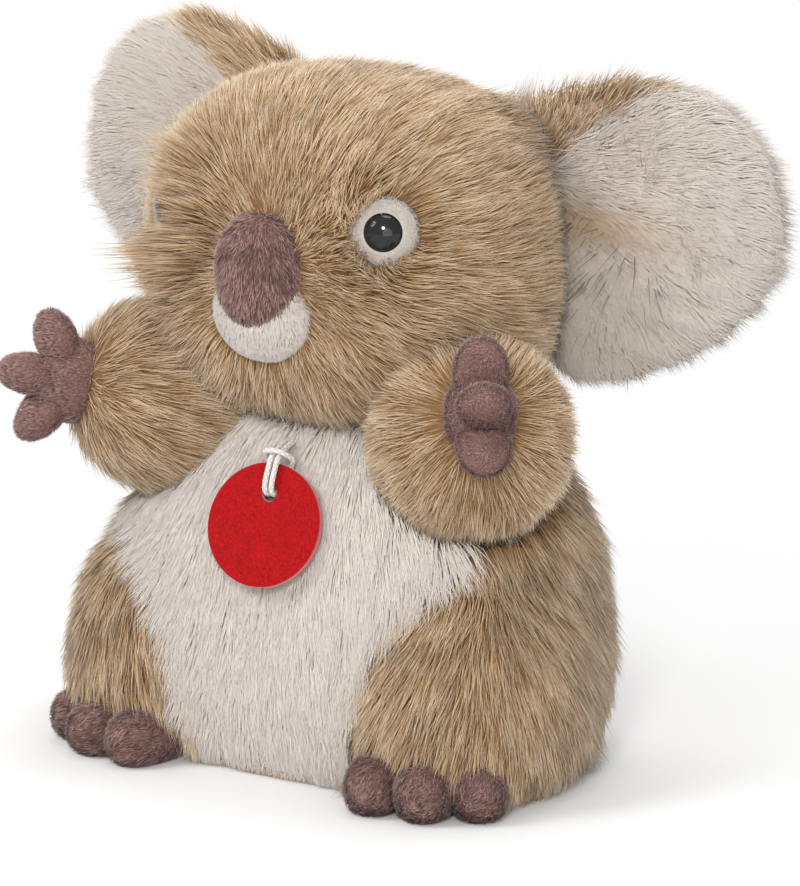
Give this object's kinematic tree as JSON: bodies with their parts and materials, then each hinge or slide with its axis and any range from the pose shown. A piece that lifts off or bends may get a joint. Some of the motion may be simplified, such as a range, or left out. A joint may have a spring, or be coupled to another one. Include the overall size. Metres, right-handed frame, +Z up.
{
  "type": "plush koala",
  "caption": "Seated plush koala with a big nodding head, folding round ears, swinging arms, a pellet-weighted torso and a felt tag that hangs on a cord at its throat.",
  "frame": {"origin": "on the floor, at the middle of the flat base panel under the torso", "axes": "+Z up, +X to the toy's own left, along the line from ear to ear, and -Y the way it looks"},
  "size_m": [0.2684, 0.1346, 0.231],
  "materials": {
    "tan_pile": "matte",
    "white_pile": "matte",
    "white_plush": "matte",
    "mauve_plush": "matte",
    "black_gloss": "gloss",
    "clear_plastic": "matte",
    "fibre": "matte",
    "bag_cloth": "matte",
    "red_felt": "matte",
    "white_cord": "matte"
  },
  "bodies": {
    "torso": {"torso_cover": "tan_pile", "torso_filling": "fibre", "pellet_bag": "bag_cloth", "belly_panel": "white_pile", "base_panel": "tan_pile", "left_leg": "tan_pile", "right_leg": "tan_pile", "left_foot": "mauve_plush", "right_foot": "mauve_plush"},
    "head": {"head_cover": "tan_pile", "head_filling": "fibre", "nose": "mauve_plush", "muzzle_patch": "white_plush", "left_eye": "black_gloss", "right_eye": "black_gloss", "left_eye_patch": "white_plush", "right_eye_patch": "white_plush", "left_eye_washer": "clear_plastic", "right_eye_washer": "clear_plastic"},
    "left_ear": {"left_ear_front": "white_pile", "left_ear_back": "tan_pile"},
    "right_ear": {"right_ear_front": "white_pile", "right_ear_back": "tan_pile"},
    "left_arm": {"left_arm": "tan_pile", "left_hand": "mauve_plush"},
    "right_arm": {"right_arm": "tan_pile", "right_hand": "mauve_plush"},
    "tag": {"tag_disc": "red_felt", "tag_cord": "white_cord"}
  },
  "joints": [
    {"name": "head_nod", "type": "hinge", "parent": "torso", "child": "head", "pos_m": [0, 0, 0.117], "axis": [1, 0, 0], "range_deg": [-8, 8], "stiffness_Nm_per_rad": 1.2},
    {"name": "left_ear_fold", "type": "hinge", "parent": "head", "child": "left_ear", "pos_m": [0.064, 0.03, 0.174], "axis": [0, 0, 1], "range_deg": [-25, 25], "stiffness_Nm_per_rad": 0.05},
    {"name": "right_ear_fold", "type": "hinge", "parent": "head", "child": "right_ear", "pos_m": [-0.064, 0.03, 0.174], "axis": [0, 0, -1], "range_deg": [-25, 25], "stiffness_Nm_per_rad": 0.05},
    {"name": "left_arm_swing", "type": "hinge", "parent": "torso", "child": "left_arm", "pos_m": [0.054, -0.022, 0.112], "axis": [0.788, 0.6157, 0], "range_deg": [-5, 18], "stiffness_Nm_per_rad": 0.2},
    {"name": "right_arm_swing", "type": "hinge", "parent": "torso", "child": "right_arm", "pos_m": [-0.054, -0.022, 0.112], "axis": [0.788, -0.6157, 0], "range_deg": [-5, 18], "stiffness_Nm_per_rad": 0.2},
    {"name": "tag_swing", "type": "hinge", "parent": "torso", "child": "tag", "pos_m": [0, -0.0422, 0.108], "axis": [-1, 0, 0], "range_deg": [0, 35]}
  ]
}
